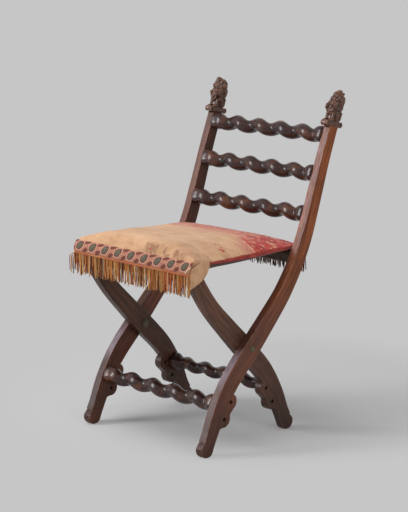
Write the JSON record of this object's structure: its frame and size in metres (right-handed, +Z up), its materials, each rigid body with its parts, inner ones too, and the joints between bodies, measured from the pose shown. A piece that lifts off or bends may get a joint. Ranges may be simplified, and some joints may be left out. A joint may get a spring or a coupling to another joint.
{
  "type": "folding church chair",
  "caption": "Folding wooden church chair with S-curved X frames, barley-twist rails, seated lion finials and a padded velvet seat with a fringe",
  "frame": {"origin": "on the floor, under the middle of the open chair's bounding box", "axes": "+X across the chair to the sitter's left-hand side as seen from the front, -Y is the front, +Z is up"},
  "size_m": [0.4394, 0.5374, 0.8444],
  "materials": {
    "walnut_boards": "waxed dark walnut, worn on the edges",
    "twist_wood": "turned and carved, dark and glossy",
    "carved_lions": "carved, dark golden brown, polished high spots",
    "hidden_wood": "planed, unpolished",
    "pivot_iron": "forged iron, grey-green, dull",
    "velvet": "faded velvet, tan with crimson pile left in places",
    "canvas": "coarse linen webbing cloth",
    "border_cloth": "appliqued band of olive ovals on pink-red",
    "fringe_yarn": "ochre and rust wool strands"
  },
  "bodies": {
    "back_frame": {"post_left": "walnut_boards", "post_right": "walnut_boards", "lion_finial_left": "carved_lions", "lion_finial_right": "carved_lions", "back_rail_bottom": "twist_wood", "back_rail_middle": "twist_wood", "back_rail_top": "twist_wood", "front_stretcher": "twist_wood", "rear_seat_rail": "hidden_wood", "pivot_pin_left": "pivot_iron", "pivot_pin_right": "pivot_iron", "pivot_washer_left": "pivot_iron", "pivot_washer_right": "pivot_iron", "rear_fringe": "fringe_yarn", "velvet_seat": "velvet", "seat_canvas": "canvas"},
    "leg_frame": {"leg_left": "walnut_boards", "leg_right": "walnut_boards", "front_seat_rail": "hidden_wood", "rear_stretcher": "twist_wood", "front_border": "border_cloth", "front_fringe": "fringe_yarn"}
  },
  "joints": [
    {"name": "fold", "type": "hinge", "parent": "back_frame", "child": "leg_frame", "pos_m": [0, -0.06162, 0.239], "axis": [-1, 0, 0], "range_deg": [0, 58], "deforming": ["velvet_seat", "seat_canvas"]}
  ]
}
